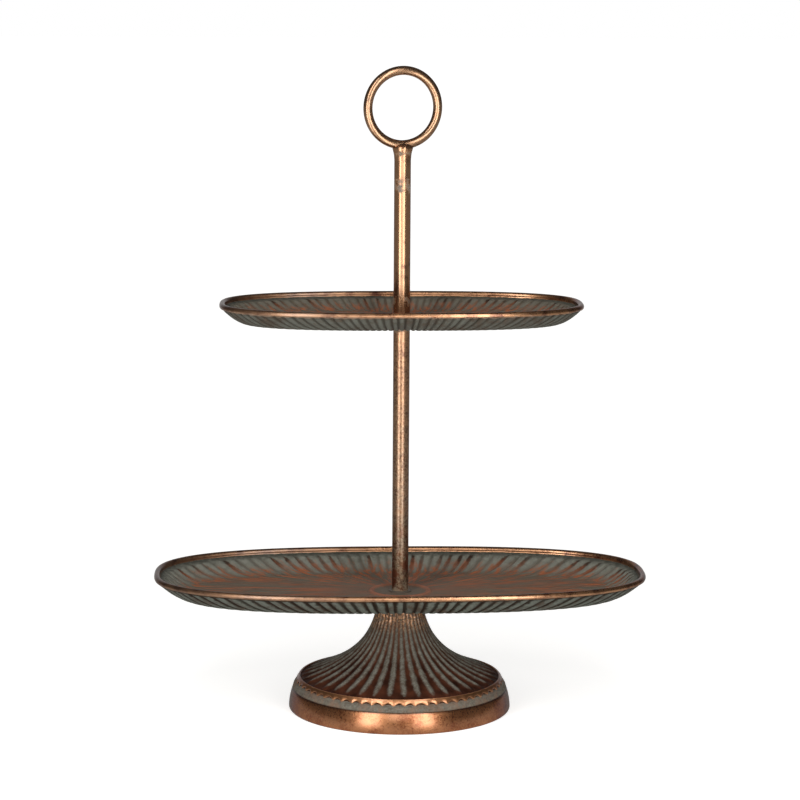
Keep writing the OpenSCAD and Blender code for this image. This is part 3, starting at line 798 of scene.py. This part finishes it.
def patinated_casting(colours):
    """Cast dish with dry brushed paint: copper on the bead, grey green on the walls, a dark to
    red brown undercoat left in the grooves, and a browner floor with thin streaks along the flutes."""
    material, put = new_material("Patinated casting, dishes")
    colour, rough, bump, spot = copper_layer(put, colours, 0.025 * MM)
    raised, off_line, chance = from_sweep(put, "relief")
    side, along, bead = from_sweep(put, "place")
    ragged = put("noise", spot, per_metre(3.85), 6.0, 0.65)
    patch = put("noise", spot, per_metre(16.7), 4.0, 0.6)
    rag = put("subtract", ragged, 0.5)
    x, _, z = put("split", spot).outputs
    upper = put("map", z, LOWER[1].z, UPPER[0].z, 0.0, 0.45)

    # Noise counted in flutes: streaks of half a flute, and patches of two flutes
    around = put("attribute", attribute_name="around").outputs["Vector"]
    strip = put("vector", around, (1.0, 1.0, 1.6), operation="MULTIPLY")
    streak = put("noise", strip, 2.0, 3.0, 0.6)
    some = put("noise", strip, 0.5, 2.0, 0.5)

    # Inside wall: grey green paint, with painted shade in the grooves and under the bead, browner on the
    # upper dish
    wall = put("mix colours", put("map", ragged, 0.35, 0.65), "#6b6b61", "#7c7c72")
    # Painted shade in the grooves, below the plain band
    groove_shade = put("multiply", put("map", off_line, 0.0, 0.7, 0.6, 0.0), put("map", along, 0.08, 0.25))
    # Painted shadow just under the bead
    shade = torn(put, along, rag, 0.25, 0.04, 0.24, 1.0, 0.0)
    for share, tint in ((groove_shade, "#4e4c43"), (upper, "#55483a"), (shade, "#41423b")):
        wall = put("mix colours", share, wall, tint)

    # Inside floor: browner, with red and grey streaks, and a worn ring round the boss
    floor = put("mix colours", put("map", patch, 0.35, 0.65), "#645144", "#705c4c")
    off_ring = put("absolute", put("subtract", along, 2.4))
    for share, tint in (
        (put("map", streak, 0.5, 0.6, 0.0, 0.9), "#95593c"),
        (put("map", streak, 0.49, 0.41, 0.0, 0.85), "#5e5c51"),
        (put("map", along, 2.45, 2.7, 0.0, 0.7), "#5c5a50"),
        (put("map", off_ring, 0.12, 0.22, 0.85, 0.0), "#8e5d48"),
    ):
        floor = put("mix colours", share, floor, tint)
    to_floor = put("multiply add", put("subtract", streak, 0.5), 1.4, put("multiply add", rag, 0.5, along))
    inside = put("mix colours", put("map", to_floor, 0.4, 0.85), wall, floor)

    # Outside: pads that are lightest in the middle and dark at their edges, partly dry brushed paint and
    # partly painted shading of their relief, with brown smudges
    pad_paint_and_shade = torn(put, raised, rag, 1.3, 0.5, 1.0)
    outside = put("mix colours", pad_paint_and_shade, "#373831", "#696d65")
    smudge = put("map", put("mix", 0.4, patch, ragged), 0.5, 0.6, 0.0, 0.8)
    outside = put("mix colours", smudge, outside, "#483b31")
    # Darker and browner on the outside of the upper dish
    upper_outside_tone = put("mix colours", put("map", put("mix", 0.5, patch, ragged), 0.42, 0.56), "#5c5c55", "#49423a")
    outside = put("mix colours", put("multiply", upper, 1.4), outside, upper_outside_tone)
    paint_colour = put("mix colours", side, outside, inside)

    # Grooves inside: short dabs, dark where they start, redder and wider on the way down
    width = put("map", along, 0.12, 0.5, 0.34, 0.62)
    edge = put("multiply add", rag, 0.7, off_line)
    line_in = put("map", edge, put("subtract", width, 0.2), width, 1.0, 0.0)
    ends = put("multiply add", put("subtract", some, 0.5), 1.2, put("multiply add", rag, 0.4, along))
    fluted = put("multiply", put("map", along, 0.11, 0.17), put("map", ends, 0.45, 0.75, 1.0, 0.25))
    kept = torn(put, some, chance, 0.4, 0.62, 0.86, 0.12, 0.9)
    line_in = put("multiply", put("multiply", line_in, fluted), kept)

    # Grooves outside: whole dark lines, fainter on the upper dish
    line_out = torn(put, raised, rag, 1.0, 0.45, 0.8, 1.0, 0.0)
    worn_out = torn(put, some, chance, 0.5, 0.45, 0.8, 0.45, 1.0)
    line_out = put("multiply", put("multiply", line_out, worn_out), put("multiply add", upper, -1.2, 1.0))
    under_in = put("mix colours", torn(put, along, rag, 0.5, 0.2, 0.42), "#34261e", colours.rust)
    undercoat = put("mix colours", side, "#2b221b", under_in)
    painted = put("mix colours", put("mix", side, line_out, line_in), paint_colour, undercoat)

    # Below the bead the copper turns to a worn tan edge whose paleness is painted light on the bead's
    # underside, paler on the upper dish
    lit_lip = put("multiply", torn(put, bead, rag, 0.5, 0.05, 0.4), put("less than", side, 0.75))
    painted_light_tan = put("mix colours", put("multiply", upper, 2.2), "#6a5648", "#978372")
    painted = put("mix colours", lit_lip, painted, painted_light_tan)

    # The left half of the rims is painted duller and darker than the right, as painted shade on that side,
    # and is rougher there
    left_shade = put("map", x, -15 * MM, -70 * MM, 0.0, 0.55)
    colour = put("mix colours", left_shade, colour, "#7a6353")
    rough = put("multiply add", left_shade, 0.25, rough)
    copper = torn(put, bead, rag, 0.9, 0.42, 0.62)
    both = put("mix colours", copper, painted, colour)
    casting_shader(put, both, put("subtract", 1.0, copper), rough, bump)
    return material


def zinc_plate(colours):
    """Bright zinc plate on turned steel: pale grey metal, slightly clouded."""
    material, put = new_material("Zinc plated steel")
    spot = put("position").outputs["Object"]
    cloud = put("noise", spot, per_metre(2.5), 4.0, 0.6)
    colour = put("mix colours", put("map", cloud, 0.35, 0.65), "#8f8f8a", colours.zinc)
    rough = put("map", cloud, 0.3, 0.7, 0.25, 0.45)
    shader = put("ShaderNodeBsdfPrincipled",
                 sockets={"Base Color": colour, "Metallic": 1.0, "Roughness": rough})
    put("ShaderNodeOutputMaterial", shader)
    return material


def background_shown(put, back, dim):
    """How much of the white background a ray sees: all of it straight or through something.
    Mirrored in metal it is the white sweep behind the stand at half strength, and only dim in
    front of it. back is the Y of the direction that the ray goes."""
    rays = put("ShaderNodeLightPath").outputs
    sweep = put("map", back, 0.7, 0.98, dim, 0.5)
    mirrored = put("multiply", rays["Is Glossy Ray"], sweep)
    straight = put("maximum", rays["Is Camera Ray"], rays["Is Transmission Ray"])
    return put("maximum", straight, mirrored)


def pale_floor():
    """Matt white paper, which glows enough to meet the white background without a line."""
    material, put = new_material("Pale floor")
    matt = put("ShaderNodeBsdfDiffuse", sockets={"Color": "#e4e2de"})
    spot = put("position").outputs["Object"]
    far = put("vector", spot, operation="LENGTH").outputs["Value"]
    back = put("divide", put("split", spot).outputs["Y"], far)
    white = put("map", far, 0.2, 1.2, 0.66, 0.8)
    glow = put("multiply", background_shown(put, back, 0.0), white)
    glow = put("ShaderNodeEmission", sockets={"Color": (1, 1, 1, 1), "Strength": glow})
    put("ShaderNodeOutputMaterial", put("ShaderNodeAddShader", matt, glow))
    return material


def white_room(fill):
    """White behind the stand, and soft light on matt surfaces that is stronger from behind."""
    world = bpy.data.worlds.new("White room")
    world.use_nodes = True
    world.node_tree.nodes.clear()
    put = partial(add_node, world.node_tree)
    back = put("split", put("position").outputs["Generated"]).outputs["Y"]
    soft = put("map", back, -0.2, 0.8, fill, fill * 1.8)
    matt = put("multiply", put("ShaderNodeLightPath").outputs["Is Diffuse Ray"], soft)
    strength = put("maximum", background_shown(put, back, 0.07), matt)
    put("ShaderNodeOutputWorld", put("ShaderNodeBackground", (1, 1, 1, 1), strength))
    return world


class STAND_OT_stage(bpy.types.Operator):
    """Pale floor, white room, three softboxes and the camera"""
    bl_idname = "stand.stage"
    bl_label = "Stage"

    def execute(self, context):
        scene, stage = context.scene, context.scene.serving_stand.stage

        # The camera sees the stand turned a little, looks down on it and leans a little
        turn, look_down, lean = math.radians(-2.9), 0.1604, 0.006
        camera = bpy.data.objects.new("Camera", bpy.data.cameras.new("Camera"))
        context.collection.objects.link(camera)
        camera.data.lens = stage.lens
        camera.data.sensor_width = 36
        camera.data.clip_end = 50
        spot = Matrix.Rotation(turn, 4, "Z") @ Vector((-0.0009, -2.3415, 0.6219))
        aim = Matrix.Rotation(turn, 4, "Z") @ Matrix.Rotation(math.radians(90) - look_down, 4, "X")
        camera.matrix_world = Matrix.Translation(spot) @ aim @ Matrix.Rotation(lean, 4, "Z")
        scene.camera = camera

        # Two tall softboxes beside the camera's line, and a small dim one on it that the rims mirror
        for name, azimuth, distance, middle, width, tall, share in (
            ("Softbox left", -29, 0.55, 0.61, 0.17, 1.2, 1.0),
            ("Softbox right", 24, 0.55, 0.61, 0.17, 1.2, 0.95),
            ("Softbox middle", 0, 0.8, 0.36, 0.34, 0.36, 0.25),
        ):
            lamp = bpy.data.lights.new(name, "AREA")
            lamp.shape = "RECTANGLE"
            lamp.size, lamp.size_y = width, tall
            lamp.energy = stage.lamp_power * share
            box = bpy.data.objects.new(name, lamp)
            context.collection.objects.link(box)
            around = turn + math.radians(azimuth)
            box.location = (distance * math.sin(around), -distance * math.cos(around), middle)
            box.rotation_euler = (math.radians(90), 0, around)
            box.visible_camera = False

        reach_m = 12
        corners = [(x * reach_m, y * reach_m, 0) for x, y in ((-1, -1), (1, -1), (1, 1), (-1, 1))]
        floor = bpy.data.meshes.new("floor")
        floor.from_pydata(corners, [], [(0, 1, 2, 3)])
        floor.materials.append(pale_floor())
        ground = bpy.data.objects.new("floor", floor)
        context.collection.objects.link(ground)

        scene.world = white_room(stage.fill)
        scene.view_settings.view_transform = "Standard"
        return {"FINISHED"}


class STAND_PT_panel(bpy.types.Panel):
    bl_label = "Serving stand"
    bl_idname = "STAND_PT_panel"
    bl_space_type = "VIEW_3D"
    bl_region_type = "UI"
    bl_category = "Stand"

    def draw(self, context):
        settings = context.scene.serving_stand
        for title, group, names in (
            ("Dishes", settings.dishes, ("stand.dishes",)),
            ("Foot", settings.foot, ("stand.foot",)),
            ("Colours", settings.colours, ("stand.rod", "stand.ring", "stand.fasteners")),
            ("Stage", settings.stage, ("stand.stage",)),
        ):
            box = self.layout.box()
            box.label(text=title)
            for prop in group.bl_rna.properties:
                if prop.identifier not in ("rna_type", "name"):
                    box.prop(group, prop.identifier)
            for name in names:
                box.operator(name)


CLASSES = (
    StandDishes, StandFoot, StandColours, StandStage, StandSettings,
    STAND_OT_dishes, STAND_OT_foot, STAND_OT_rod, STAND_OT_ring, STAND_OT_fasteners, STAND_OT_stage,
    STAND_PT_panel,
)


def register():
    for cls in CLASSES:
        bpy.utils.register_class(cls)
    bpy.types.Scene.serving_stand = PointerProperty(type=StandSettings)


def unregister():
    del bpy.types.Scene.serving_stand
    for cls in reversed(CLASSES):
        bpy.utils.unregister_class(cls)


def main():
    register()
    bpy.ops.stand.dishes()
    bpy.ops.stand.foot()
    bpy.ops.stand.rod()
    bpy.ops.stand.ring()
    bpy.ops.stand.fasteners()
    bpy.ops.stand.stage()


if __name__ == "__main__":
    main()
